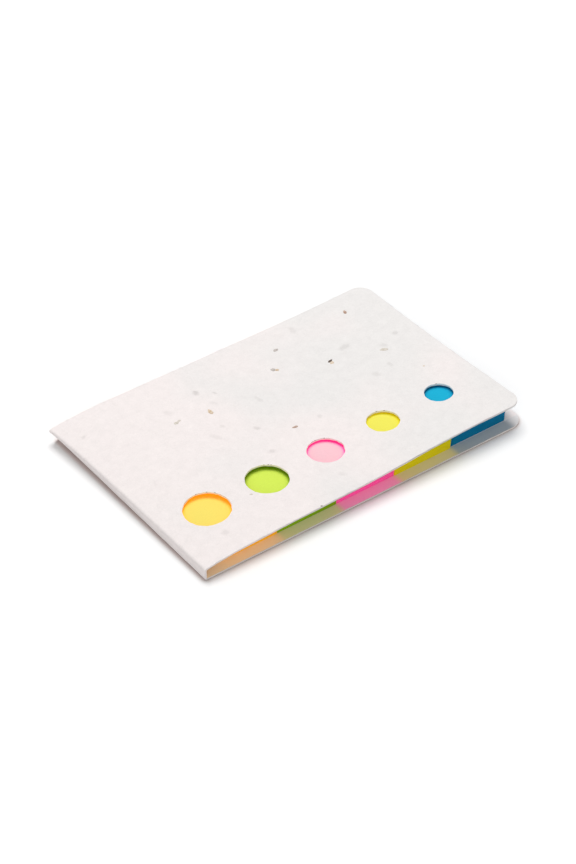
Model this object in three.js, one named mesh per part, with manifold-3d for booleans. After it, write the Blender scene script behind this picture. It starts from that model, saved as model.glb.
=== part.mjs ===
// Seed paper sticky notes: one folded sheet of seed paper with five round windows in its front leaf, and
// five pads of page markers glued side by side on its back leaf. Millimetres. The notes lie flat with +Z up,
// +X runs from the fold to the fore edge, +Y runs along the fold away from the windows, and the origin is
// under the middle of the cover.
import * as THREE from "three";
import { mergeVertices } from "three/addons/utils/BufferGeometryUtils.js";
import Module from "manifold-3d";

const wasm = await Module();
wasm.setup();

// Pads of page markers, from the fold to the fore edge
const padNames = ["orange", "green", "pink", "yellow", "blue"];
const padColors = ["#ffd95e", "#c8ec3f", "#ff8fb8", "#f4ea3e", "#16aede"];
const padWidth = 15;
const padLength = 50;
const padThickness = 2.5; // at the glued end, along the back edge
const padFans = [0.1, 0.3, 1, 1.75, 2.2]; // how much thicker each pad springs open at its loose front end
const padLean = 0.35; // how far the top sheet of a pad has slid towards the fore edge
const padGap = 0.1; // cut line between two pads

// The seed paper and the margins that it leaves round the pads
const paper = 0.4;
const foldMargin = 5.45;
const foreMargin = 2.6; // of the front leaf
const backForeMargin = 3.4; // the back leaf reaches a little further
const sideMargin = 2.5;
const cornerRadius = 3.5;

// The fold, seen along Y: a round bend up from the back leaf, a wall that leans out over the table and a round
// bend back into the front leaf. It runs a little askew and leans further out towards the back edge.
const foldRadius = 0.5; // of both bends, on the outside
const foldFootFront = 1.44; // where the lower bend turns, at the front edge
const foldFootBack = 2.34;
const foldLean = 1.1; // at the back edge, growing evenly from none at the front edge
const foldFlare = 0.74; // more lean, in the last few millimetres before the back edge
const foldReach = 2.4; // how far the fold runs in before the front leaf starts
const creaseGap = 0.3;

// Round windows, one over each pad, smaller from pad to pad
const windowDiameters = [10, 9.2, 8, 7.1, 6.3];
const windowFromEdge = 13.7;
const windowOffset = -1.75; // the row of windows sits this far from the middles of the pads

// Room between the pads and the springy front leaf along its front edge, middle and back edge. Each row
// of three is one station, given as a share of the way from the fold to the fore edge. At the fold itself,
// short of the pads, the leaf dips a little below their height at the front.
const leafStations = [0, 0.048, 0.126, 0.284, 0.442, 0.6, 0.7, 0.85, 1];
const leafGaps = [
  [-0.3, 0.1, 0.5],
  [0.11, 0.51, 0.92],
  [0.45, 0.96, 1.15],
  [0.52, 0.73, 1.16],
  [0.11, 0.49, 1.2],
  [0.05, 0.33, 1.25],
  [0.41, 0.41, 1.28],
  [0.6, 0.58, 1.5],
  [0.7, 0.75, 1.95],
];

// How finely curved faces are cut
const windowSegments = 48;
const cornerSegments = 10;
const leafColumns = 28;
const leafRows = 10;
const foldSteps = 12;
const cutMargin = 1;

const coverLength = foldMargin + padNames.length * padWidth + foreMargin;
const backLength = coverLength - foreMargin + backForeMargin;
const coverWidth = padLength + 2 * sideMargin;
const leafStart = foldReach + creaseGap;

// Closed BufferGeometry to solid and back
function toSolid(geometry) {
  const bare = new THREE.BufferGeometry();
  bare.setAttribute("position", geometry.getAttribute("position").clone());
  if (geometry.index) bare.setIndex(geometry.index.clone());
  const merged = mergeVertices(bare, 1e-5);
  const vertProperties = new Float32Array(merged.getAttribute("position").array);
  const triVerts = new Uint32Array(merged.index.array);
  return new wasm.Manifold(new wasm.Mesh({ numProp: 3, vertProperties, triVerts }));
}

function toGeometry(solid) {
  const mesh = solid.getMesh();
  const geometry = new THREE.BufferGeometry();
  geometry.setAttribute("position", new THREE.BufferAttribute(new Float32Array(mesh.vertProperties), 3));
  geometry.setIndex(new THREE.BufferAttribute(new Uint32Array(mesh.triVerts), 1));
  const flat = geometry.toNonIndexed();
  flat.computeVertexNormals();
  return flat;
}

// Height of the stack of pads under a place on the cover, rising from pad to pad and towards their front ends
const fanStarts = padNames.map((name, i) => foldMargin + padWidth * i);
const fanAlong = new THREE.LinearInterpolant(fanStarts, padFans, 1);

function stackHeight(x, y) {
  const loose = 1 - THREE.MathUtils.clamp((y - sideMargin) / padLength, 0, 1);
  const [fan] = fanAlong.evaluate(THREE.MathUtils.clamp(x, fanStarts[0], fanStarts.at(-1)));
  return paper + padThickness + fan * loose;
}

// Height of the front leaf's outer face: the stack, the room above it and the paper itself
const gapAlong = new THREE.CubicInterpolant(leafStations, leafGaps.flat(), 3);

function leafHeight(x, y) {
  const along = THREE.MathUtils.clamp((x - leafStart) / (coverLength - leafStart), 0, 1);
  const across = THREE.MathUtils.clamp(y / coverWidth, 0, 1);
  const [front, middle, back] = gapAlong.evaluate(along);
  const gap =
    front * (1 - across) * (1 - 2 * across) +
    middle * 4 * across * (1 - across) +
    back * across * (2 * across - 1);
  return stackHeight(x, y) + gap + paper;
}

// Thin closed slab that follows the front leaf's height, a little larger than the leaf all round
function leafSlab() {
  const xs = [];
  const ys = [];
  for (let i = 0; i <= leafColumns; i++) {
    xs.push(THREE.MathUtils.lerp(leafStart - cutMargin, coverLength + cutMargin, i / leafColumns));
  }
  for (let j = 0; j <= leafRows; j++) {
    ys.push(THREE.MathUtils.lerp(-cutMargin, coverWidth + cutMargin, j / leafRows));
  }
  const positions = [];
  for (const drop of [0, paper]) {
    for (const x of xs) {
      for (const y of ys) positions.push(x, y, leafHeight(x, y) - drop);
    }
  }
  const corner = (layer, i, j) => (layer * (leafColumns + 1) + i) * (leafRows + 1) + j;
  const faces = [];
  const quad = (a, b, c, d) => faces.push(a, b, c, a, c, d);
  for (let i = 0; i < leafColumns; i++) {
    for (let j = 0; j < leafRows; j++) {
      quad(corner(0, i, j), corner(0, i + 1, j), corner(0, i + 1, j + 1), corner(0, i, j + 1));
      quad(corner(1, i, j), corner(1, i, j + 1), corner(1, i + 1, j + 1), corner(1, i + 1, j));
    }
    quad(corner(0, i, 0), corner(1, i, 0), corner(1, i + 1, 0), corner(0, i + 1, 0));
    quad(corner(0, i, leafRows), corner(0, i + 1, leafRows), corner(1, i + 1, leafRows), corner(1, i, leafRows));
  }
  for (let j = 0; j < leafRows; j++) {
    quad(corner(0, 0, j), corner(0, 0, j + 1), corner(1, 0, j + 1), corner(1, 0, j));
    quad(
      corner(0, leafColumns, j),
      corner(1, leafColumns, j),
      corner(1, leafColumns, j + 1),
      corner(0, leafColumns, j + 1),
    );
  }
  const geometry = new THREE.BufferGeometry();
  geometry.setAttribute("position", new THREE.Float32BufferAttribute(positions, 3));
  geometry.setIndex(faces);
  return geometry;
}

// Plan of a leaf: square at the fold, rounded at the fore edge
function leafPlan(start, end) {
  const plan = new THREE.Shape();
  plan.moveTo(start, 0);
  plan.lineTo(end - cornerRadius, 0);
  plan.absarc(end - cornerRadius, cornerRadius, cornerRadius, -Math.PI / 2, 0, false);
  plan.lineTo(end, coverWidth - cornerRadius);
  plan.absarc(end - cornerRadius, coverWidth - cornerRadius, cornerRadius, 0, Math.PI / 2, false);
  plan.lineTo(start, coverWidth);
  plan.closePath();
  return plan;
}

// Height that clears every piece, for the solids that trim and punch the sheet
const clearHeight = 2 * paper + padThickness + Math.max(...padFans) + Math.max(...leafGaps.flat()) + cutMargin;

function planSolid(plan) {
  const geometry = new THREE.ExtrudeGeometry(plan, {
    depth: clearHeight + cutMargin,
    bevelEnabled: false,
    curveSegments: cornerSegments,
  });
  geometry.translate(0, 0, -cutMargin / 2);
  return toSolid(geometry);
}

// Front leaf, with its windows cut through
function frontCover() {
  const plan = planSolid(leafPlan(leafStart, coverLength));
  let leaf = toSolid(leafSlab()).intersect(plan);
  windowDiameters.forEach((diameter, i) => {
    const cutter = new THREE.CylinderGeometry(diameter / 2, diameter / 2, 2 * clearHeight, windowSegments);
    cutter.rotateX(Math.PI / 2);
    cutter.translate(foldMargin + padWidth * (i + 0.5) + windowOffset, windowFromEdge, 0);
    leaf = leaf.subtract(toSolid(cutter));
  });
  return toGeometry(leaf);
}

// Section of the back leaf and fold at one place along the fold, in X and Z. The two bends have the same
// radius, so the wall between them runs along the line through their centres. The fold's top has the slope at
// which the front leaf starts.
function foldSection(y) {
  const start = leafHeight(leafStart, y);
  const slope = Math.atan(leafHeight(leafStart + 1, y) - start);
  const share = y / coverWidth;
  const lean = foldLean * share + foldFlare * share ** 6;
  const footX = THREE.MathUtils.lerp(foldFootFront, foldFootBack, share);
  const topX = footX - lean;
  const fall = Math.tan(slope) * (foldReach - topX + foldRadius * Math.sin(slope));
  const topZ = start - fall - foldRadius * Math.cos(slope);
  const tilt = Math.PI + Math.atan2(lean, topZ - foldRadius);
  const upper = Math.PI / 2 + slope;
  const inner = foldRadius - paper;
  const section = new THREE.Shape();
  section.moveTo(backLength, 0);
  section.lineTo(backLength, paper);
  section.lineTo(footX, paper);
  section.absarc(footX, foldRadius, inner, 1.5 * Math.PI, tilt, true);
  section.lineTo(topX + inner * Math.cos(tilt), topZ + inner * Math.sin(tilt));
  section.absarc(topX, topZ, inner, tilt, upper, true);
  section.lineTo(foldReach, start - paper);
  section.lineTo(foldReach, start);
  section.lineTo(topX + foldRadius * Math.cos(upper), topZ + foldRadius * Math.sin(upper));
  section.absarc(topX, topZ, foldRadius, upper, tilt, false);
  section.lineTo(footX + foldRadius * Math.cos(tilt), foldRadius + foldRadius * Math.sin(tilt));
  section.absarc(footX, foldRadius, foldRadius, tilt, 1.5 * Math.PI, false);
  section.closePath();
  return section.extractPoints(cornerSegments).shape;
}

// Back leaf and fold, one bent sheet that runs through its sections from the front edge to the back edge
function backCover() {
  const positions = [];
  const faces = [];
  const count = foldSection(0).length;
  for (let step = 0; step <= foldSteps; step++) {
    const y = (coverWidth * step) / foldSteps;
    for (const point of foldSection(y)) positions.push(point.x, y, point.y);
  }
  for (let step = 0; step < foldSteps; step++) {
    for (let i = 0; i < count; i++) {
      const a = step * count + i;
      const b = step * count + ((i + 1) % count);
      faces.push(a, b + count, b, a, a + count, b + count);
    }
  }
  const last = foldSteps * count;
  for (const [a, b, c] of THREE.ShapeUtils.triangulateShape(foldSection(0), [])) faces.push(a, b, c);
  for (const [a, b, c] of THREE.ShapeUtils.triangulateShape(foldSection(coverWidth), [])) {
    faces.push(last + a, last + c, last + b);
  }
  const bent = new THREE.BufferGeometry();
  bent.setAttribute("position", new THREE.Float32BufferAttribute(positions, 3));
  bent.setIndex(faces);
  return toGeometry(toSolid(bent).intersect(planSolid(leafPlan(-cutMargin, backLength))));
}

// One pad: a block of sheets, glued at the back end and sprung open at the front end, whose upper sheets have
// slid a little towards the fore edge
function pad(index) {
  const width = padWidth - padGap;
  const section = new THREE.Shape();
  section.moveTo(0, 0);
  section.lineTo(width, 0);
  section.lineTo(width + padLean, padThickness);
  section.lineTo(padLean, padThickness);
  section.closePath();
  const block = new THREE.ExtrudeGeometry(section, { depth: padLength, bevelEnabled: false });
  block.rotateX(Math.PI / 2);
  block.translate(0, padLength, 0);
  const points = block.getAttribute("position");
  for (let i = 0; i < points.count; i++) {
    const loose = 1 - points.getY(i) / padLength;
    points.setZ(i, points.getZ(i) * (1 + (loose * padFans[index]) / padThickness));
  }
  block.computeVertexNormals();
  return block;
}

function piece(name, geometry, color, roughness) {
  const material = new THREE.MeshStandardMaterial({ color, roughness, metalness: 0 });
  const mesh = new THREE.Mesh(geometry, material);
  mesh.name = name;
  return mesh;
}

const stickyNotes = new THREE.Group();
stickyNotes.add(piece("back_cover", backCover(), "#f1eeea", 0.95));
stickyNotes.add(piece("front_cover", frontCover(), "#f1eeea", 0.95));
padNames.forEach((name, i) => {
  const markers = piece(`${name}_marker_pad`, pad(i), padColors[i], 0.8);
  markers.position.set(foldMargin + padWidth * i, sideMargin, paper);
  stickyNotes.add(markers);
});
stickyNotes.position.set(-backLength / 2, -coverWidth / 2, 0);

const root = new THREE.Group();
root.add(stickyNotes);
export default root;
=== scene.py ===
import math
import random

import bpy
import numpy as np
from mathutils import Matrix, Vector, noise


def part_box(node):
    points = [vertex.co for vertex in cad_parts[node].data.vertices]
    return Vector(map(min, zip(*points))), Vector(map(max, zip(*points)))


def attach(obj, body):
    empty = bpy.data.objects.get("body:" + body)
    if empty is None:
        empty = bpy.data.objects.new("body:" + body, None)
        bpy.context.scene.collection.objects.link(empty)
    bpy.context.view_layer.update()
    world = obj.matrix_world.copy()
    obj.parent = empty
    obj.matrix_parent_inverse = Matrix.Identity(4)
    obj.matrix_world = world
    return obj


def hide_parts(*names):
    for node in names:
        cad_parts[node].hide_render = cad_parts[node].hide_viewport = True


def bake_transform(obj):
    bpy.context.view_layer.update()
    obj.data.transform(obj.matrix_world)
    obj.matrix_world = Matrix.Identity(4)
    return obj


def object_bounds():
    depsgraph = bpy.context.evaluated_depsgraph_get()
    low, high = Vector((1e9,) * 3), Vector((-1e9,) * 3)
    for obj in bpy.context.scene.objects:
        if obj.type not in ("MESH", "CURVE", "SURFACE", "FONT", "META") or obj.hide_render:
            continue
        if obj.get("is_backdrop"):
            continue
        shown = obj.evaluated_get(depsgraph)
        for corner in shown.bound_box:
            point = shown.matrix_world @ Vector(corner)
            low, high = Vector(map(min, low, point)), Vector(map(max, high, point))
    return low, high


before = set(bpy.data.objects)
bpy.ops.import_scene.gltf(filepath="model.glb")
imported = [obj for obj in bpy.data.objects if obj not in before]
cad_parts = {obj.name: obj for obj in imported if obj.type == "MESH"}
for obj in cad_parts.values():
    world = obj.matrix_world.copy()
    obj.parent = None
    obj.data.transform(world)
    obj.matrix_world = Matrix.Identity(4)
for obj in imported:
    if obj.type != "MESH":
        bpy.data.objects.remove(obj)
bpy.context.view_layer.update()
random.seed(11)

# Cover: one sheet of seed paper, cotton pulp pressed with flower seeds in it. It is cut flat by a die, with
# five round windows in what becomes its front leaf, and then folded once round the pads. The model is made
# the same way: cut flat, then folded. Lengths are in metres, and MM turns millimetres into them.
MM = 0.001
paper = 0.4 * MM
fold_radius = 0.5 * MM
fold_foot_front = 1.44 * MM
fold_foot_back = 2.34 * MM
fold_lean = 1.1 * MM
fold_flare = 0.74 * MM
fold_reach = 2.4 * MM
corner_radius = 3.5 * MM
window_diameters = [10.0 * MM, 9.2 * MM, 8.0 * MM, 7.1 * MM, 6.3 * MM]
window_from_edge = 13.7 * MM
window_from_pad_middle = -1.75 * MM
pad_names = ["orange", "green", "pink", "yellow", "blue"]

back_low, back_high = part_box("back_cover")
pad_boxes = {name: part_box(f"{name}_marker_pad") for name in pad_names}
fold_x = back_low.x
back_fore_x = back_high.x
fore_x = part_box("front_cover")[1].x
front_y = back_low.y
back_y = back_high.y
half = paper / 2
crease_x = fold_x + fold_reach


def clear_selection():
    """Leaves object mode with nothing selected, so that the next operator acts on what it is given."""
    if bpy.context.object and bpy.context.object.mode != "OBJECT":
        bpy.ops.object.mode_set(mode="OBJECT")
    bpy.ops.object.select_all(action="DESELECT")


def pick(obj):
    """Makes obj the one selected and active object."""
    clear_selection()
    obj.select_set(True)
    bpy.context.view_layer.objects.active = obj


def apply_modifier(obj, kind, **settings):
    """Adds one modifier with its settings and applies it."""
    pick(obj)
    modifier = obj.modifiers.new(kind.lower(), kind)
    for key, value in settings.items():
        setattr(modifier, key, value)
    bpy.ops.object.modifier_apply(modifier=modifier.name)


# The front leaf's springy form is read off its solid: a smooth surface through its upper faces' corners
front_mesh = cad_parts["front_cover"].data
faces_up = 0.9
upper = {v for p in front_mesh.polygons if p.normal.z > faces_up for v in p.vertices}
upper_points = np.array([front_mesh.vertices[v].co for v in upper])
LEAF_POWERS = [(i, j) for i in range(9) for j in range(3)]


def leaf_terms(x, y):
    """Powers of the place on the leaf, each scaled to about 0 to 1, for a least-squares surface."""
    u = (np.asarray(x) - crease_x) / (fore_x - crease_x)
    v = (np.asarray(y) - front_y) / (back_y - front_y)
    return np.stack([u**i * v**j for i, j in LEAF_POWERS], -1)


leaf_rows = leaf_terms(upper_points[:, 0], upper_points[:, 1])
leaf_factors = np.linalg.lstsq(leaf_rows, upper_points[:, 2], rcond=None)[0]


def leaf_height(x, y):
    """Height of the front leaf's outer face."""
    return leaf_terms(x, y) @ leaf_factors


def crease_height(y):
    """Height of the crease where the fold's top becomes the front leaf."""
    return leaf_height(np.full(np.shape(y), crease_x), y)


def leaf_normal(x, y):
    """Unit vectors that stand on the front leaf's outer face."""
    reach = 0.1 * MM
    slope_x = (leaf_height(x + reach, y) - leaf_height(x - reach, y)) / (2 * reach)
    slope_y = (leaf_height(x, y + reach) - leaf_height(x, y - reach)) / (2 * reach)
    normal = np.stack([-slope_x, -slope_y, np.ones_like(slope_x)], -1)
    return normal / np.linalg.norm(normal, axis=-1, keepdims=True)


# On the flat sheet, places along the front leaf equal X. The fold comes next, as long as it is halfway
# across the sheet, and then the back leaf. The middle of the paper bends on a smaller radius than its
# outer face.
middle_radius = fold_radius - half


def fold_shape(y):
    """The fold at y: where its lower and upper bends turn, its wall's lean as an angle, its top's slope,
    the height about which the upper bend turns, and the lengths of its top, upper bend, wall and lower
    bend."""
    share = (y - front_y) / (back_y - front_y)
    foot_x = fold_x + fold_foot_front + (fold_foot_back - fold_foot_front) * share
    lean = fold_lean * share + fold_flare * share**6
    top_x = foot_x - lean
    height_1_mm_on = leaf_height(np.full(np.shape(y), crease_x + 1 * MM), y)
    slope = np.arctan(height_1_mm_on / MM - crease_height(y) / MM)
    reach = crease_x - top_x + fold_radius * np.sin(slope)
    centre_high = crease_height(y) - np.tan(slope) * reach - fold_radius * np.cos(slope)
    rise = centre_high - fold_radius
    angle = np.arctan2(lean, rise)
    upper_bend = middle_radius * (math.pi / 2 + angle - slope)
    lower_bend = middle_radius * (math.pi / 2 - angle)
    lengths = (reach / np.cos(slope), upper_bend, np.hypot(lean, rise), lower_bend)
    return foot_x, top_x, angle, slope, centre_high, lengths


halfway_foot_x, *_, halfway_lengths = fold_shape(np.array([0.0]))
fold_length = float(sum(halfway_lengths)[0])
foot_place = crease_x - fold_length
sheet_start = foot_place - (back_fore_x - float(halfway_foot_x[0]))


def folded(places, across, out):
    """Where points of the flat sheet lie once folded: places along it, across it and out of its middle."""
    foot_x, top_x, angle, slope, centre_high, lengths = fold_shape(across)
    top, upper_bend, wall, lower_bend = lengths
    back_share = (foot_place - places) / (foot_place - sheet_start)
    share = np.clip((crease_x - places) / fold_length, 0, 1)
    run = share * (top + upper_bend + wall + lower_bend)
    turn_top = math.pi / 2 + slope
    turn_high = turn_top + (run - top) / middle_radius
    turn_wall = math.pi + angle
    down = run - top - upper_bend
    turn_low = turn_wall + (down - wall) / middle_radius
    stretches = [run < top, run < top + upper_bend, run < top + upper_bend + wall, places > foot_place]
    turn = np.select(stretches, [turn_top, turn_high, turn_wall, turn_low], 1.5 * math.pi)
    out_x, out_z = np.cos(turn), np.sin(turn)
    bend = middle_radius + out
    x = np.select(
        stretches,
        [
            crease_x - run * np.cos(slope) + (out - half) * out_x,
            top_x + bend * out_x,
            top_x + down * np.sin(angle) + bend * out_x,
            foot_x + bend * out_x,
        ],
        foot_x + (back_fore_x - foot_x) * back_share,
    )
    z = np.select(
        stretches,
        [
            crease_height(across) - run * np.sin(slope) + (out - half) * out_z,
            centre_high + bend * out_z,
            centre_high - down * np.cos(angle) + bend * out_z,
            fold_radius + bend * out_z,
        ],
        half - out,
    )
    on_fold = np.stack([x, across, z], -1)
    on_leaf = np.stack([places, across, leaf_height(places, across)], -1)
    on_leaf += leaf_normal(places, across) * (out - half)[:, None]
    return np.where((places > crease_x)[:, None], on_leaf, on_fold)


# Flat sheet, die-cut: a grid slab is crossed with the die, a slab with round corners, and then punched five
# times. Its columns are evenly spaced between the stops, and closest through the fold.
sheet_length = fore_x - sheet_start
sheet_width = back_y - front_y
spare = 1 * MM
column_stops = [0, 132, 172, 312]
place_stops = [sheet_start - spare, foot_place - 0.5 * MM, crease_x + 1.5 * MM, fore_x + spare]
rows_across = 94
corner_steps = 14
window_steps = 96
tool_depth = 10 * paper
clear_selection()
bpy.ops.mesh.primitive_grid_add(
    x_subdivisions=column_stops[-1],
    y_subdivisions=rows_across,
    size=1,
    location=(0.5, 0, -half),
)
cover = bpy.context.object
cover.name = "seed_paper_cover"
cover.scale = (1, sheet_width + 2 * spare, 1)
bpy.ops.object.transform_apply(location=True, rotation=False, scale=True)
for vertex in cover.data.vertices:
    vertex.co.x = np.interp(vertex.co.x * column_stops[-1], column_stops, place_stops)
bpy.ops.object.mode_set(mode="EDIT")
bpy.ops.mesh.select_all(action="SELECT")
bpy.ops.mesh.extrude_region_move(TRANSFORM_OT_translate={"value": (0, 0, paper)})
bpy.ops.mesh.select_all(action="SELECT")
bpy.ops.mesh.normals_make_consistent(inside=False)
clear_selection()

bpy.ops.mesh.primitive_cube_add(size=1, location=((fore_x + sheet_start) / 2, (front_y + back_y) / 2, 0))
die = bpy.context.object
die.scale = (sheet_length, sheet_width, tool_depth)
bpy.ops.object.transform_apply(location=True, rotation=False, scale=True)
bpy.ops.object.mode_set(mode="EDIT")
bpy.ops.mesh.select_mode(type="EDGE")
bpy.ops.mesh.select_all(action="DESELECT")
bpy.ops.object.mode_set(mode="OBJECT")
for edge in die.data.edges:
    ends = [die.data.vertices[v].co for v in edge.vertices]
    edge.select = abs(ends[0].z - ends[1].z) > paper
bpy.ops.object.mode_set(mode="EDIT")
bpy.ops.mesh.bevel(offset=corner_radius, segments=corner_steps, profile=0.5, affect="EDGES")
clear_selection()
apply_modifier(cover, "BOOLEAN", operation="INTERSECT", solver="EXACT", object=die)
bpy.data.objects.remove(die)

pad_width = pad_boxes["green"][0].x - pad_boxes["orange"][0].x
windows = {}
for name, diameter in zip(pad_names, window_diameters):
    window_x = pad_boxes[name][0].x + pad_width / 2 + window_from_pad_middle
    centre = Vector((window_x, front_y + window_from_edge, 0))
    windows[name] = (centre, diameter / 2)
    clear_selection()
    bpy.ops.mesh.primitive_cylinder_add(
        vertices=window_steps,
        radius=diameter / 2,
        depth=tool_depth,
        location=centre,
    )
    punch = bpy.context.object
    apply_modifier(cover, "BOOLEAN", operation="DIFFERENCE", solver="EXACT", object=punch)
    bpy.data.objects.remove(punch)

flat = np.array([v.co for v in cover.data.vertices])
at_rim = 0.01 * MM


# Torn-looking pulp along every cut: points on a rim wander by a few hundredths of a millimetre
def wander(point):
    """How far a frayed cut strays: small steps half a millimetre long, on larger and longer ones."""
    place = Vector(point) / MM
    return (0.07 * noise.noise(place / 0.55) + 0.1 * noise.noise(place / 1.5)) * MM


for index, point in enumerate(flat):
    for centre, radius in windows.values():
        reach = math.hypot(point[0] - centre.x, point[1] - centre.y)
        if abs(reach - radius) < at_rim:
            shift = wander(point) / reach
            flat[index, 0] += (point[0] - centre.x) * shift
            flat[index, 1] += (point[1] - centre.y) * shift
    if min(point[1] - front_y, back_y - point[1]) < at_rim:
        flat[index, 1] -= math.copysign(abs(wander(point)), point[1])
    if min(point[0] - sheet_start, fore_x - point[0]) < at_rim:
        flat[index, 0] -= math.copysign(abs(wander(point)), point[0] - foot_place)

# Gentle cockle of pressed pulp, the same on both sides of the sheet. It grows from nothing at the crease.
cockle_width = 9 * MM
cockle_height = 0.05 * MM
cockle_growth = 6 * MM
cockle = np.array([noise.noise(Vector((p[0], p[1], 0)) / cockle_width) for p in flat]) * cockle_height
on_front = np.clip((flat[:, 0] - crease_x) / cockle_growth, 0, 1)
bent = folded(flat[:, 0], flat[:, 1], flat[:, 2] + cockle * on_front)
for vertex, place in zip(cover.data.vertices, bent):
    vertex.co = place

# The flat sheet's own places stay with the points, so that pulp and seeds follow the paper round the fold
flat_place = cover.data.attributes.new("flat_place", "FLOAT_VECTOR", "POINT")
flat_place.data.foreach_set("vector", flat.astype(np.float32).ravel())
pick(cover)
bpy.ops.object.shade_smooth_by_angle(angle=math.radians(40))


def linear(hex_color):
    """An sRGB hex colour as the linear RGBA that a shader socket takes."""
    parts = [int(hex_color[k : k + 2], 16) / 255 for k in (1, 3, 5)]
    return (*[c / 12.92 if c <= 0.04045 else ((c + 0.055) / 1.055) ** 2.4 for c in parts], 1)


def add(tree, kind, settings=None, **links):
    """Adds a node of a kind to a tree, with its settings. Each link or value goes to the input of that
    name, or of that number where its key is i and a number."""
    node = tree.nodes.new(kind)
    for key, value in (settings or {}).items():
        setattr(node, key, value)
    for key, value in links.items():
        is_number = key[0] == "i" and key[1:].isdigit()
        socket = node.inputs[int(key[1:]) if is_number else key.replace("_", " ")]
        if isinstance(value, bpy.types.NodeSocket):
            tree.links.new(value, socket)
        else:
            socket.default_value = value
    return node


def mixed(tree, factor, below, above, blend="MIX"):
    """Colour mix of two colours, each a socket or a linear RGBA."""
    settings = {"data_type": "RGBA", "blend_type": blend}
    return add(tree, "ShaderNodeMix", settings, i0=factor, i6=below, i7=above).outputs[2]


def spread(tree, value, low, high, to_low, to_high, smooth=False):
    """Maps a value from one range to another and stops at its ends."""
    settings = {"interpolation_type": "SMOOTHSTEP" if smooth else "LINEAR"}
    ranges = {"From_Min": low, "From_Max": high, "To_Min": to_low, "To_Max": to_high}
    return add(tree, "ShaderNodeMapRange", settings, Value=value, **ranges).outputs["Result"]


def calculated(tree, operation, first, second=0.0):
    """One step of arithmetic on sockets or numbers."""
    return add(tree, "ShaderNodeMath", {"operation": operation}, i0=first, i1=second).outputs[0]


# Husks and seeds that show through the face of the sheet as soft smudges: place along and across the flat
# sheet in millimetres, length, width, turn in degrees and strength. These lie where the photograph shows
# them, and more are scattered over the hidden back leaf.
buried_husks = [
    (-10.9, 18.3, 2.4, 1.6, 89, 0.23),
    (-7.7, 15.9, 1.4, 1.0, 131, 0.16),
    (-7.6, 0.9, 2.2, 1.3, 129, 0.18),
    (-16, 3.5, 4.2, 1.6, 114, 0.099),
    (-9.7, -7.1, 2.2, 1.6, 170, 0.14),
    (-37.9, 20.6, 1.3, 1.3, 113, 0.13),
    (-1.5, 8.5, 3.1, 1.4, 98, 0.11),
    (-19.6, 16.2, 3.3, 2.0, 111, 0.081),
    (18.7, 23.8, 3.3, 1.9, 88, 0.099),
    (-31.9, -21.7, 2.2, 1.9, 140, 0.099),
    (35.6, 9, 2.1, 1.6, 2, 0.14),
    (23.8, 11.8, 4.0, 2.0, 6, 0.14),
    (23.2, -0.2, 2.6, 1.9, 113, 0.099),
    (27.7, 0.7, 2.4, 1.4, 97, 0.099),
    (30.9, 6.9, 2.6, 1.6, 141, 0.099),
    (5.1, -4, 1.5, 1.3, 141, 0.11),
    (-2.8, -22, 2.2, 1.7, 141, 0.081),
    (-13, 5.7, 1.7, 1.2, 161, 0.11),
    (-9.8, 13.2, 2.2, 1.3, 115, 0.081),
]
back_leaf_husks = 16
clear_of_edge = 4 * MM
for _ in range(back_leaf_husks):
    along = random.uniform(sheet_start + clear_of_edge, foot_place) / MM
    across = random.uniform(front_y + clear_of_edge, back_y - clear_of_edge) / MM
    strength = random.choice([0.08, 0.12, 0.2, 0.75])
    long = random.uniform(1.2, 2.8)
    wide = long * random.uniform(0.3, 0.5)
    turn = random.uniform(0, 180)
    buried_husks.append((along, across, long, wide, turn, strength))

paper_cool = "#f2efed"
paper_pink = "#faf2f0"
fibre_color = "#cfc8c2"
buried_husk_color = "#6f6258"

# Painted bounce light: the pads' neon colours thrown onto the narrow margin in front of them, and painted
# shade, a grey, on the margin after them
margin_bounce_colors = ["#f6d6a6", "#d6d294", "#fb9bc8", "#d8cc92", "#9ca8ae"]
margin_end_shade = "#dcdada"
bounce_blur = 1.0 * MM
bounce_share = 0.85
bounce_glow = 0.12


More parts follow.
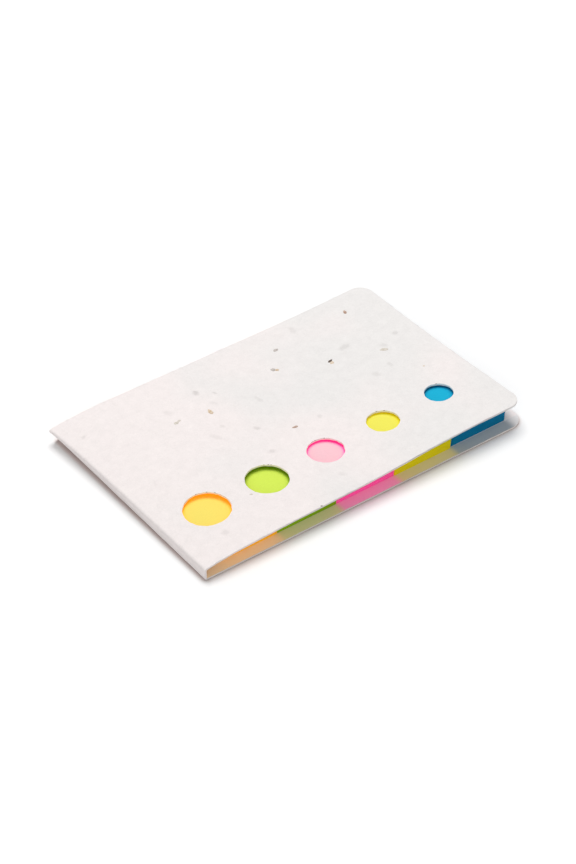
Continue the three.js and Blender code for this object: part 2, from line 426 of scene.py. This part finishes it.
def seed_paper_material():
    """Uncoated seed paper, laid from recycled cotton pulp: warm white, faintly pink or cool in large
    clouds, with crossed fibres that catch the light and buried husks. On the margin before the pads,
    painted bounce light gives the neon colours that the pads throw there, with a faint painted glow, and
    painted shade greys the margin after them. Its clouds are 26 mm wide, its pulp 2 mm, its grain 0.4 mm
    and its fibres 2.6 mm apart."""
    material = bpy.data.materials.new("seed_paper")
    material.use_nodes = True
    tree = material.node_tree
    shader = tree.nodes["Principled BSDF"]
    place = add(tree, "ShaderNodeAttribute", {"attribute_name": "flat_place"}).outputs["Vector"]

    clouds = add(tree, "ShaderNodeTexNoise", Vector=place, Scale=1 / (26 * MM), Detail=1.0).outputs["Fac"]
    along = add(tree, "ShaderNodeSeparateXYZ", Vector=place).outputs["X"]
    cooler = spread(tree, along, fold_x, fore_x, 0.3, -0.2)
    tint = spread(tree, calculated(tree, "ADD", clouds, cooler), 0.36, 0.7, 0.0, 1.0, smooth=True)
    color = mixed(tree, tint, linear(paper_cool), linear(paper_pink))
    pulp = add(tree, "ShaderNodeTexNoise", Vector=place, Scale=1 / (2.2 * MM), Detail=5.0, Roughness=0.65)
    mottle = spread(tree, pulp.outputs["Fac"], 0.3, 0.7, 0.96, 1.01)
    color = mixed(tree, 1.0, color, mottle, "MULTIPLY")
    grain = add(tree, "ShaderNodeTexNoise", Vector=place, Scale=1 / (0.4 * MM), Detail=3.0, Distortion=1.5)
    specks = spread(tree, grain.outputs["Fac"], 0.3, 0.7, 0.955, 1.025)
    color = mixed(tree, 1.0, color, specks, "MULTIPLY")

    fibre_scale = 1 / (2.6 * MM)
    winding = add(tree, "ShaderNodeTexNoise", Vector=place, Scale=fibre_scale, Detail=1.5, Distortion=1.2)
    line = calculated(tree, "ABSOLUTE", calculated(tree, "SUBTRACT", winding.outputs["Fac"], 0.5))
    fibres = spread(tree, line, 0.0, 0.012, 1.0, 0.0)
    color = mixed(tree, calculated(tree, "MULTIPLY", fibres, 0.1), color, linear(fibre_color))

    frayed = add(tree, "ShaderNodeTexNoise", Vector=place, Scale=1 / (0.7 * MM), Detail=3.0)
    frayed_by = frayed.outputs["Color"]
    drift = add(tree, "ShaderNodeVectorMath", {"operation": "SUBTRACT"}, i0=frayed_by, i1=(0.5, 0.5, 0.5))
    drift = add(tree, "ShaderNodeVectorMath", {"operation": "SCALE"}, i0=drift.outputs[0], Scale=0.9 * MM)
    frayed_place = add(tree, "ShaderNodeVectorMath", {"operation": "ADD"}, i0=place, i1=drift.outputs[0])
    husks = 0.0
    for x, y, long, wide, turn, strength in buried_husks:
        reach = add(
            tree,
            "ShaderNodeMapping",
            {"vector_type": "TEXTURE"},
            Vector=frayed_place.outputs[0],
            Location=(x * MM, y * MM, 0),
            Rotation=(0, 0, math.radians(turn)),
            Scale=(long / 2 * MM, wide / 2 * MM, 1),
        )
        far = add(tree, "ShaderNodeVectorMath", {"operation": "LENGTH"}, i0=reach.outputs["Vector"])
        smudge = spread(tree, far.outputs["Value"], 1.1, 0.3, 0.0, strength, smooth=True)
        husks = calculated(tree, "MAXIMUM", husks, smudge)
    color = mixed(tree, husks, color, linear(buried_husk_color))

    # Painted bounce light and shade on the low, upward margin in front of the pads, with a faint painted
    # glow in the same colours
    rest = add(tree, "ShaderNodeSeparateXYZ", Vector=add(tree, "ShaderNodeTexCoord").outputs["Object"])
    from_fold = spread(tree, rest.outputs["X"], fold_x, back_fore_x, 0.0, 1.0)
    painted_bounce = add(tree, "ShaderNodeValToRGB", i0=from_fold)
    ramp = painted_bounce.color_ramp
    ramp.interpolation = "EASE"
    edges = [pad_boxes[name][0].x for name in pad_names[1:]] + [pad_boxes["blue"][1].x]
    ramp.elements[0].position = 0
    ramp.elements[0].color = linear(margin_bounce_colors[0])
    ramp.elements[1].position = 1
    ramp.elements[1].color = linear(margin_end_shade)
    for edge, before, after in zip(edges, margin_bounce_colors, margin_bounce_colors[1:] + [margin_end_shade]):
        for step, bounce_color in ((-bounce_blur, before), (bounce_blur, after)):
            ramp.elements.new((edge + step - fold_x) / (back_fore_x - fold_x)).color = linear(bounce_color)
    upward = add(tree, "ShaderNodeSeparateXYZ", Vector=add(tree, "ShaderNodeNewGeometry").outputs["Normal"])
    is_inside = spread(tree, upward.outputs["Z"], 0.3, 0.7, 0.0, 1.0)
    is_low = spread(tree, rest.outputs["Z"], 1.0 * MM, 1.4 * MM, 1.0, 0.0)
    pads_front = pad_boxes["green"][0].y
    is_margin = spread(tree, rest.outputs["Y"], pads_front, pads_front + 0.5 * MM, 1.0, 0.0)
    bounce_mask = calculated(tree, "MULTIPLY", calculated(tree, "MULTIPLY", is_inside, is_low), is_margin)
    color = mixed(tree, calculated(tree, "MULTIPLY", bounce_mask, bounce_share), color, painted_bounce.outputs["Color"])
    tree.links.new(color, shader.inputs["Base Color"])
    tree.links.new(painted_bounce.outputs["Color"], shader.inputs["Emission Color"])
    tree.links.new(calculated(tree, "MULTIPLY", bounce_mask, bounce_glow), shader.inputs["Emission Strength"])

    relief = calculated(tree, "ADD", grain.outputs["Fac"], calculated(tree, "MULTIPLY", fibres, 0.5))
    relief = calculated(tree, "ADD", relief, pulp.outputs["Fac"])
    bump = add(tree, "ShaderNodeBump", Height=relief, Strength=0.45, Distance=0.05 * MM)
    tree.links.new(bump.outputs["Normal"], shader.inputs["Normal"])
    shader.inputs["Roughness"].default_value = 0.95
    shader.inputs["Specular IOR Level"].default_value = 0.2
    return material


cover.data.materials.clear()
cover.data.materials.append(seed_paper_material())
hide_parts("back_cover", "front_cover")
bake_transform(cover)

# Seeds and bits of husk pressed into the face of the front leaf, half sunk in the pulp. Each is blunt at
# one end and pointed at the other, as small flower seeds are. A finish is a dark and a light colour and a
# roughness.
seed_finishes = {
    "black_seed": ("#3a2a20", "#7a5d45", 0.5),
    "brown_seed": ("#a07c66", "#cbb2a2", 0.6),
    "grey_seed": ("#a89f9a", "#cfc6c0", 0.7),
    "tan_husk": ("#d2b694", "#e8dac8", 0.85),
    "pale_husk": ("#cfc6b9", "#e4ddd2", 0.9),
}


def seed_material(name, dark, light, roughness):
    """Dry seed coat, streaked lengthwise from dark to light."""
    material = bpy.data.materials.new(name)
    material.use_nodes = True
    tree = material.node_tree
    shader = tree.nodes["Principled BSDF"]
    place = add(tree, "ShaderNodeTexCoord").outputs["Object"]
    streaks = add(tree, "ShaderNodeTexNoise", Vector=place, Scale=1 / (0.5 * MM), Detail=3.0)
    share = spread(tree, streaks.outputs["Fac"], 0.35, 0.65, 0.0, 1.0)
    tree.links.new(mixed(tree, share, linear(dark), linear(light)), shader.inputs["Base Color"])
    bump = add(tree, "ShaderNodeBump", Height=streaks.outputs["Fac"], Strength=0.4, Distance=0.05 * MM)
    tree.links.new(bump.outputs["Normal"], shader.inputs["Normal"])
    shader.inputs["Roughness"].default_value = roughness
    return material


seed_materials = {name: seed_material(name, *finish) for name, finish in seed_finishes.items()}
seed_flatness = 0.45
seed_taper = 0.5
seed_lumps = 0.25
seed_sink = 0.12


def press_seed(finish, x, y, long, wide, turn, inside=False):
    """Makes one seed, with its place and size in millimetres and its turn in degrees, and presses it into
    the front leaf's outer face, or into its inner face if inside."""
    clear_selection()
    bpy.ops.mesh.primitive_uv_sphere_add(segments=16, ring_count=10, radius=0.5)
    seed = bpy.context.object
    thick = seed_flatness * wide
    for vertex in seed.data.vertices:
        ahead = vertex.co.x + 0.5
        lumpy = 1 + seed_lumps * noise.noise(vertex.co * 3 + Vector((x, y, 0)))
        narrow = (1 - seed_taper * ahead**2) * lumpy
        sized = (vertex.co.x * long, vertex.co.y * wide * narrow, vertex.co.z * thick * narrow)
        vertex.co = Vector(sized) * MM
    spot = (np.array([x * MM]), np.array([y * MM]))
    normal = Vector(leaf_normal(*spot)[0])
    height = float(leaf_height(*spot)[0])
    face = Vector((x * MM, y * MM, height)) - normal * (paper if inside else 0)
    sunk = face + normal * (thick * seed_sink * MM) * (1 if inside else -1)
    # The turn counts from X: the tracked frame's own turn about the normal is taken out
    upright = normal.to_track_quat("Z", "X").to_matrix() @ Matrix.Rotation(math.radians(turn), 3, "Z")
    straight = normal.to_track_quat("Z", "X").to_matrix() @ Vector((1, 0, 0))
    offset = math.atan2(straight.y, straight.x)
    upright = upright @ Matrix.Rotation(-offset, 3, "Z")
    seed.data.transform(Matrix.Translation(sunk) @ upright.to_4x4())
    for polygon in seed.data.polygons:
        polygon.use_smooth = True
    seed.data.materials.append(seed_materials[finish])
    return seed


seeds = [
    press_seed("brown_seed", 31.7, 21.8, 1.5, 0.9, 70),
    press_seed("black_seed", 18.5, 9.8, 1.5, 0.8, 16),
    press_seed("tan_husk", 18.4, 9.1, 1.2, 0.98, 35),
    press_seed("brown_seed", -1.1, -3.7, 1.4, 0.73, 169),
    press_seed("grey_seed", 11.6, 20.1, 1.5, 0.98, 8),
    press_seed("grey_seed", 6.9, 14.9, 1.2, 1.1, 142),
    press_seed("tan_husk", 7.5, 14.3, 1.1, 0.81, 150),
    press_seed("tan_husk", -12.1, 11.3, 1.9, 1.1, 86),
    press_seed("pale_husk", -20.0, 12.3, 1.3, 0.98, 5),
    press_seed("pale_husk", -19.2, 12.6, 0.9, 0.65, 170),
    press_seed("pale_husk", -21.2, -15.7, 0.7, 0.49, 143),
    press_seed("tan_husk", 32.8, -4.4, 0.6, 0.57, 141),
    press_seed("pale_husk", 29.9, 5.7, 2, 1.1, 152),
    press_seed("grey_seed", -12.1, -27.35, 0.6, 0.52, 0),
]

# Small dark slivers in the black seed finish on the far rims of the windows, each at a bearing in degrees
rim_slivers = [("orange", 82), ("orange", 56), ("orange", 36), ("green", 62), ("green", 51), ("green", 44)]
rim_slivers += [("pink", 87), ("pink", 58), ("yellow", 75), ("yellow", 48), ("blue", 62)]
sliver_width = 0.16
for name, bearing in rim_slivers:
    centre, radius = windows[name]
    sliver_x = (centre.x + radius * math.cos(math.radians(bearing))) / MM
    sliver_y = (centre.y + radius * math.sin(math.radians(bearing))) / MM
    long = random.uniform(0.35, 0.6)
    seeds.append(press_seed("black_seed", sliver_x, sliver_y, long, sliver_width, bearing + 90))

# The inner face of the front leaf has seeds too, clear of the windows and edges
all_seeds = 36
slender = 0.35
off_side = 3
off_fore_edge = 5
off_window = 1 * MM
while len(seeds) < all_seeds:
    seed_x = random.uniform(crease_x / MM + off_side, fore_x / MM - off_fore_edge)
    seed_y = random.uniform(front_y / MM + off_side, back_y / MM - off_side)
    off_centres = [(math.hypot(seed_x * MM - c.x, seed_y * MM - c.y), r) for c, r in windows.values()]
    if all(off_centre > radius + off_window for off_centre, radius in off_centres):
        long = random.uniform(0.8, 1.8)
        finish = random.choice(list(seed_finishes))
        turn = random.uniform(0, 180)
        seeds.append(press_seed(finish, seed_x, seed_y, long, long * slender, turn, inside=True))

clear_selection()
for seed in seeds:
    seed.select_set(True)
bpy.context.view_layer.objects.active = seeds[0]
bpy.ops.object.join()
pressed_seeds = bpy.context.object
pressed_seeds.name = "pressed_seeds"
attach(pressed_seeds, "front_leaf")

# Pads of page markers: thin neon paper, cut as a block and glued at the back end. The loose front ends
# spring open, more from pad to pad, and the upper sheets have slid a little towards the fore edge. Each pad
# has a colour in the light, a deeper colour painted as shade in clefts and on cut ends, and a painted glow
# there.
pad_colors = {
    "orange": ("#ffe970", "#ffd83a", (0.6, 0.09, 0.0)),
    "green": ("#dcf55e", "#92c400", (0.0, 0.0, 0.0)),
    "pink": ("#ffced7", "#f267c8", (0.62, 0.0, 0.06)),
    "yellow": ("#f8f161", "#e4e000", (0.2, 0.12, 0.0)),
    "blue": ("#14b6dc", "#0086b8", (0.0, 0.0, 0.0)),
}
pad_set_backs = {"orange": 0.0, "green": 0.05 * MM, "pink": 0.1 * MM, "yellow": 0.0, "blue": 0.3 * MM}
# A real pad has more and thinner sheets, too fine to show, so these are drawn coarser
sheets_per_pad = 24
sheet_wander = 0.04 * MM
sheet_slide = 0.1 * MM
side_gap = 0.04 * MM
sheet_edge = 0.02 * MM
cleft_width = 1.8 * MM
glued_thickness = pad_boxes["orange"][1].z - pad_boxes["orange"][0].z
sheet_thickness = glued_thickness / sheets_per_pad


def neon_paper_material(name, face, shade_color, glow):
    """Neon marker paper, dyed right through and uncoated. Under a window's rim and between the ends of the
    sheets, where light is thrown from dye to dye, the colour is painted deeper as painted shade and given a
    painted glow; the cut ends get the deeper colour as painted shade too."""
    material = bpy.data.materials.new(f"neon_paper_{name}")
    material.use_nodes = True
    tree = material.node_tree
    shader = tree.nodes["Principled BSDF"]
    place = add(tree, "ShaderNodeTexCoord").outputs["Object"]
    normal = add(tree, "ShaderNodeNewGeometry").outputs["Normal"]
    upward = add(tree, "ShaderNodeSeparateXYZ", Vector=normal).outputs["Z"]
    # Painted shade: where ambient occlusion finds a cleft, and on the cut ends, the colour turns to the
    # deeper shade colour
    open_sky = add(tree, "ShaderNodeAmbientOcclusion", {"samples": 8}, Distance=cleft_width).outputs["AO"]
    hidden = spread(tree, open_sky, 0.5, 0.8, 1.0, 0.0)
    cut_end_shade = spread(tree, upward, 0.4, 0.8, 1.0, 0.0)
    color = mixed(tree, calculated(tree, "MAXIMUM", hidden, cut_end_shade), linear(face), linear(shade_color))
    grain = add(tree, "ShaderNodeTexNoise", Vector=place, Scale=1 / (0.3 * MM), Detail=3.0)
    color = mixed(tree, 1.0, color, spread(tree, grain.outputs["Fac"], 0.0, 1.0, 0.93, 1.05), "MULTIPLY")
    tree.links.new(color, shader.inputs["Base Color"])
    bump = add(tree, "ShaderNodeBump", Height=grain.outputs["Fac"], Strength=0.3, Distance=0.02 * MM)
    tree.links.new(bump.outputs["Normal"], shader.inputs["Normal"])
    shader.inputs["Roughness"].default_value = 0.85
    shader.inputs["Specular IOR Level"].default_value = 0.2
    shader.inputs["Emission Color"].default_value = (*glow, 1)
    # Painted glow: emission in the clefts, weaker on the cut ends, in the pad's glow colour
    if any(glow):
        hot = calculated(tree, "MULTIPLY", hidden, spread(tree, upward, 0.4, 0.8, 0.15, 1.0))
        tree.links.new(hot, shader.inputs["Emission Strength"])
    return material


for name in pad_names:
    low, high = pad_boxes[name]
    fan = (high.z - low.z - glued_thickness) / (sheets_per_pad - 1)
    slide = (high.x - low.x) - pad_width + sheet_slide
    front_end = low.y + pad_set_backs[name]
    sheets = []
    for layer in range(sheets_per_pad):
        share = (layer + 0.5) / sheets_per_pad
        middle_x = (low.x + high.x - slide) / 2 + share * slide
        sheet_middle = Vector((middle_x, (front_end + high.y) / 2, low.z))
        sheet_middle.y += random.uniform(-1, 1) * sheet_wander
        sheet_middle.z += (layer + 0.5) * sheet_thickness
        clear_selection()
        bpy.ops.mesh.primitive_cube_add(size=1, location=sheet_middle)
        sheet = bpy.context.object
        sheet_depth = high.y - front_end - 2 * sheet_wander
        sheet.scale = (high.x - low.x - slide - side_gap, sheet_depth, sheet_thickness)
        bpy.ops.object.transform_apply(location=True, rotation=False, scale=True)
        for vertex in sheet.data.vertices:
            loose = (high.y - vertex.co.y) / (high.y - low.y)
            vertex.co.z += layer * fan * loose
        sheets.append(sheet)
    clear_selection()
    for sheet in sheets:
        sheet.select_set(True)
    bpy.context.view_layer.objects.active = sheets[0]
    bpy.ops.object.join()
    pad = bpy.context.object
    pad.name = f"{name}_markers"
    apply_modifier(pad, "BEVEL", width=sheet_edge, segments=2, limit_method="ANGLE")
    pick(pad)
    bpy.ops.object.shade_smooth_by_angle(angle=math.radians(50))
    pad.data.materials.clear()
    pad.data.materials.append(neon_paper_material(name, *pad_colors[name]))
    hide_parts(f"{name}_marker_pad")
    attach(pad, "back")

# Table: a wide pale floor. The camera sees it as a white sweep, with painted shadow: warm grey in the
# crevice along the object's foot and a little grey for some millimetres round it. Other rays meet a plain
# pale grey.
table_size = 6
table_drop = 0.02 * MM
crevice_shadow_width = 1.2 * MM
shadow_halo_width = 6 * MM
crevice_shadow_tone = (0.67, 0.555, 0.525, 1)
near_tone = (1.05, 1.05, 1.05, 1)
far_tone = (3.0, 3.0, 3.0, 1)
bounce_tone = (0.82, 0.82, 0.82, 1)
clear_selection()
bpy.ops.mesh.primitive_plane_add(size=table_size, location=(0, 0, -table_drop))
table = bpy.context.object
table.name = "table"


def seen_directly(tree):
    """1 for rays from the camera, also by way of metal or glass, and 0 for others."""
    path = add(tree, "ShaderNodeLightPath").outputs
    direct = calculated(tree, "MAXIMUM", path["Is Camera Ray"], path["Is Glossy Ray"])
    return calculated(tree, "MAXIMUM", direct, path["Is Transmission Ray"])


white = bpy.data.materials.new("white_table")
white.use_nodes = True
tree = white.node_tree
shader = tree.nodes["Principled BSDF"]
# Painted shadow: ambient occlusion darkens what the camera sees of the floor near the object's foot
open_sky = add(tree, "ShaderNodeAmbientOcclusion", {"samples": 12}, Distance=crevice_shadow_width).outputs["AO"]
crevice = mixed(tree, spread(tree, open_sky, 0.5, 1.0, 0.0, 1.0), crevice_shadow_tone, near_tone)
wide_sky = add(tree, "ShaderNodeAmbientOcclusion", {"samples": 12}, Distance=shadow_halo_width).outputs["AO"]
shaded = mixed(tree, 1.0, crevice, spread(tree, wide_sky, 0.6, 1.0, 0.9, 1.0), "MULTIPLY")
place = add(tree, "ShaderNodeTexCoord").outputs["Object"]
away = add(tree, "ShaderNodeVectorMath", {"operation": "LENGTH"}, i0=place).outputs["Value"]
sweep = mixed(tree, spread(tree, away, 60 * MM, 600 * MM, 0.0, 1.0), shaded, far_tone)
tone = mixed(tree, seen_directly(tree), bounce_tone, sweep)
tree.links.new(tone, shader.inputs["Base Color"])
shader.inputs["Roughness"].default_value = 1.0
shader.inputs["Specular IOR Level"].default_value = 0.0
table.data.materials.append(white)
table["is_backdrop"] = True

# Studio: an even white room, which the camera sees as pure white, one large soft box high behind the
# object, and a weaker one low at its left
world = bpy.data.worlds.new("studio")
bpy.context.scene.world = world
world.use_nodes = True
tree = world.node_tree
background = tree.nodes["Background"]
background.inputs["Color"].default_value = (1, 1, 1, 1)
ambient = 0.38
tree.links.new(spread(tree, seen_directly(tree), 0.0, 1.0, ambient, 1.0), background.inputs["Strength"])


def area_light(name, place, size, power):
    """A soft box that faces the object."""
    lamp = bpy.data.lights.new(name, "AREA")
    lamp.shape = "DISK"
    lamp.size = size
    lamp.energy = power
    holder = bpy.data.objects.new(name, lamp)
    bpy.context.scene.collection.objects.link(holder)
    holder.location = place
    holder.rotation_mode = "QUATERNION"
    holder.rotation_quaternion = (-Vector(place)).to_track_quat("-Z", "Y")


area_light("key_soft_box", (0.13, 0.24, 0.74), 0.55, 4.05)
area_light("low_fill", (-0.55, -0.45, 0.3), 0.6, 1.1)

# Camera: the photograph's own view, worked out from the cover's edges and windows. Its focal length is in
# the photograph's pixels.
film_width = 36
photo_height = 864
focal_pixels = 2627
view_distance = 553.2 * MM
view_target = Vector((0, 0.25, 0)) * MM
view_azimuth = math.radians(-36.39)
view_elevation = math.radians(38.63)
view_roll = math.radians(-0.52)
camera = bpy.data.cameras.new("camera")
camera.sensor_width = film_width
camera.lens = focal_pixels / photo_height * film_width
camera.clip_start = 0.01
camera.clip_end = 20
holder = bpy.data.objects.new("camera", camera)
bpy.context.scene.collection.objects.link(holder)
back = Vector(
    (
        math.sin(view_azimuth) * math.cos(view_elevation),
        -math.cos(view_azimuth) * math.cos(view_elevation),
        math.sin(view_elevation),
    )
)
turned = (-back).to_track_quat("-Z", "Y").to_matrix() @ Matrix.Rotation(view_roll, 3, "Z")
holder.matrix_world = Matrix.Translation(view_target + back * view_distance) @ turned.to_4x4()
bpy.context.scene.camera = holder
bpy.context.scene.view_settings.view_transform = "Standard"

low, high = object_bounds()
